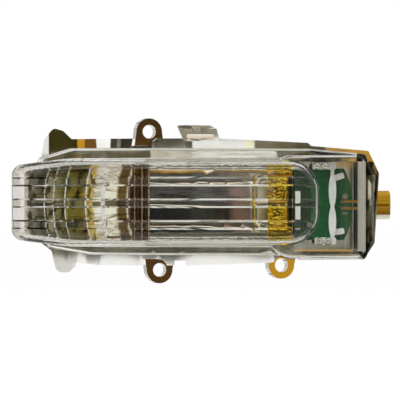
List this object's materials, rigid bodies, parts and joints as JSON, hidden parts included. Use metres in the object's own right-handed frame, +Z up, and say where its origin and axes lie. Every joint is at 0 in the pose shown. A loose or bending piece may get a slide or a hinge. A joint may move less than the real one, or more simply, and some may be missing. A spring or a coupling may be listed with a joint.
{
  "type": "vehicle indicator lamp",
  "caption": "Wrap-around side indicator lamp for a door mirror: clear ribbed lens on a chromed reflector housing with a circuit board, screw eyelets and a round socket.",
  "frame": {"origin": "centre of the upper screw hole, on the front of its eyelet", "axes": "+X to the inboard end with the round socket, +Y from the lens face to the back, +Z up"},
  "size_m": [0.1472, 0.0516, 0.0633],
  "materials": {
    "housing_chrome": "bright vacuum-metallised plastic",
    "lens_clear": "clear polished plastic",
    "board_green": "green solder mask",
    "retainer_white": "pale translucent plastic",
    "solder": "bright solder",
    "chip_ceramic": "fired ceramic with tinned ends",
    "diode_black": "black moulded",
    "can_metal": "bright can",
    "led_white": "white moulded",
    "led_amber": "clear amber resin",
    "terminal_gold": "flash-plated"
  },
  "bodies": {
    "root": {"rear_housing": "housing_chrome", "front_lens": "lens_clear", "circuit_board": "board_green", "board_retainer": "retainer_white", "solder_joints": "solder", "resistor_upper": "chip_ceramic", "resistor_lower": "chip_ceramic", "resistor_edge": "chip_ceramic", "diode": "diode_black", "capacitor": "can_metal", "led_body_upper": "led_white", "led_body_lower": "led_white", "led_resin_upper": "led_amber", "led_resin_lower": "led_amber", "terminal_upper": "terminal_gold", "terminal_lower": "terminal_gold"}
  },
  "joints": []
}
